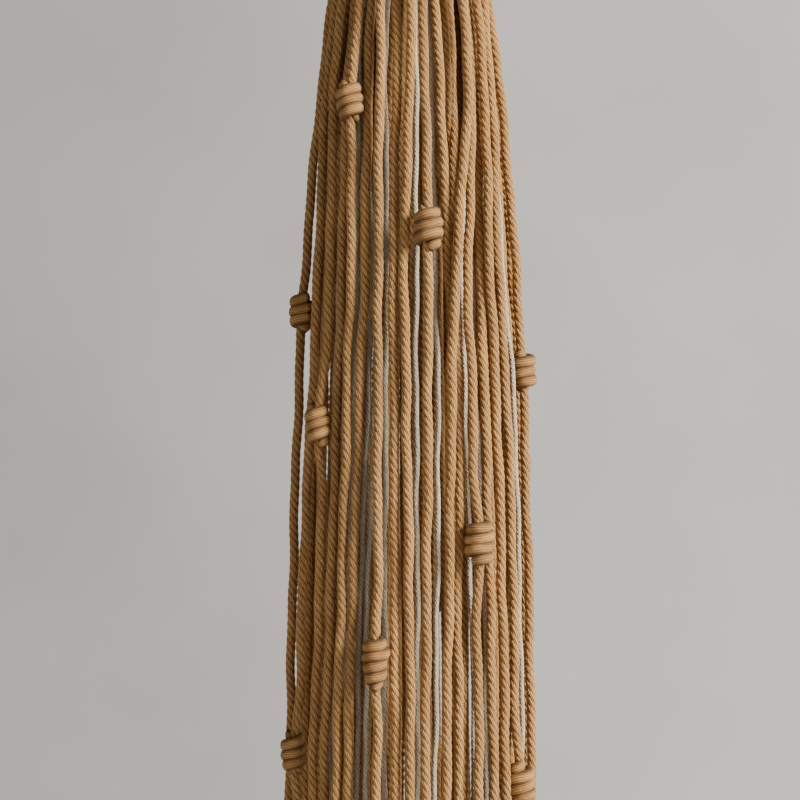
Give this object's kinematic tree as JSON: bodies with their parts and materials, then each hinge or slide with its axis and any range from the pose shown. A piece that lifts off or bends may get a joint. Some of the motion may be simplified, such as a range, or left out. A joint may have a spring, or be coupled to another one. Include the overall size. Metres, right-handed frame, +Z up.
{
  "type": "hanging macrame planter",
  "caption": "Cotton macrame plant hanger on a wooden ring, with knotted supports, a cradle holding a pot on its saucer, and a long knotted fringe below.",
  "frame": {"origin": "the point inside the top of the hanging ring where the hook bears", "axes": "+Z up along the hanging line, -Y towards the front, +X to the right; the ring lies in the XZ plane"},
  "size_m": [0.151, 0.1502, 1.276],
  "materials": {
    "ring_wood": "turned beech, oiled",
    "tan_cotton": "twisted cotton cord, matt",
    "white_cotton": "twisted cotton cord, natural off-white, matt",
    "glazed_clay": "matt speckled stoneware glaze"
  },
  "bodies": {
    "ring": {"hanging_ring": "ring_wood"},
    "hanger": {"ring_loop_1": "tan_cotton", "ring_loop_2": "tan_cotton", "ring_loop_3": "tan_cotton", "ring_loop_4": "tan_cotton", "top_wrap": "tan_cotton", "support_1": "tan_cotton", "support_2": "tan_cotton", "support_3": "tan_cotton", "support_4": "tan_cotton", "rim_knot_1": "tan_cotton", "rim_knot_2": "tan_cotton", "rim_knot_3": "tan_cotton", "rim_knot_4": "tan_cotton", "cradle_leg_1": "tan_cotton", "cradle_leg_2": "tan_cotton", "cradle_leg_3": "tan_cotton", "cradle_leg_4": "tan_cotton", "cradle_leg_5": "tan_cotton", "cradle_leg_6": "tan_cotton", "cradle_leg_7": "tan_cotton", "cradle_leg_8": "tan_cotton", "cradle_knot_1": "tan_cotton", "cradle_knot_2": "tan_cotton", "cradle_knot_3": "tan_cotton", "cradle_knot_4": "tan_cotton", "under_leg_1": "tan_cotton", "under_leg_2": "tan_cotton", "under_leg_3": "tan_cotton", "under_leg_4": "tan_cotton", "gathering_knot": "tan_cotton"},
    "saucer": {"saucer": "glazed_clay"},
    "pot": {"plant_pot": "glazed_clay"},
    "fringe": {"fringe_wrap": "tan_cotton", "tan_cord_01": "tan_cotton", "tan_cord_02": "tan_cotton", "tan_cord_03": "tan_cotton", "tan_cord_04": "tan_cotton", "tan_cord_05": "tan_cotton", "tan_cord_06": "tan_cotton", "tan_cord_07": "tan_cotton", "tan_cord_08": "tan_cotton", "tan_cord_09": "tan_cotton", "tan_cord_10": "tan_cotton", "tan_cord_11": "tan_cotton", "tan_cord_12": "tan_cotton", "tan_cord_13": "tan_cotton", "tan_cord_14": "tan_cotton", "tan_cord_15": "tan_cotton", "tan_cord_16": "tan_cotton", "tan_cord_17": "tan_cotton", "tan_cord_18": "tan_cotton", "tan_cord_19": "tan_cotton", "white_cord_1": "white_cotton", "white_cord_2": "white_cotton", "white_cord_3": "white_cotton", "white_cord_4": "white_cotton", "white_cord_5": "white_cotton", "white_cord_6": "white_cotton", "white_cord_7": "white_cotton"}
  },
  "joints": [
    {"name": "hanger_swing", "type": "hinge", "parent": "ring", "child": "hanger", "pos_m": [0, 0, -0.065], "axis": [1, 0, 0], "range_deg": [-20, 20]},
    {"name": "pot_turn", "type": "hinge", "parent": "hanger", "child": "saucer", "pos_m": [0, 0, -0.5748], "axis": [0, 0, 1], "continuous": true},
    {"name": "pot_lift", "type": "slide", "parent": "saucer", "child": "pot", "axis": [0, 0, 1], "range_m": [0, 0.04]},
    {"name": "fringe_sway", "type": "hinge", "parent": "hanger", "child": "fringe", "pos_m": [0, 0, -0.6853], "axis": [0, 1, 0], "range_deg": [-20, 20]}
  ]
}
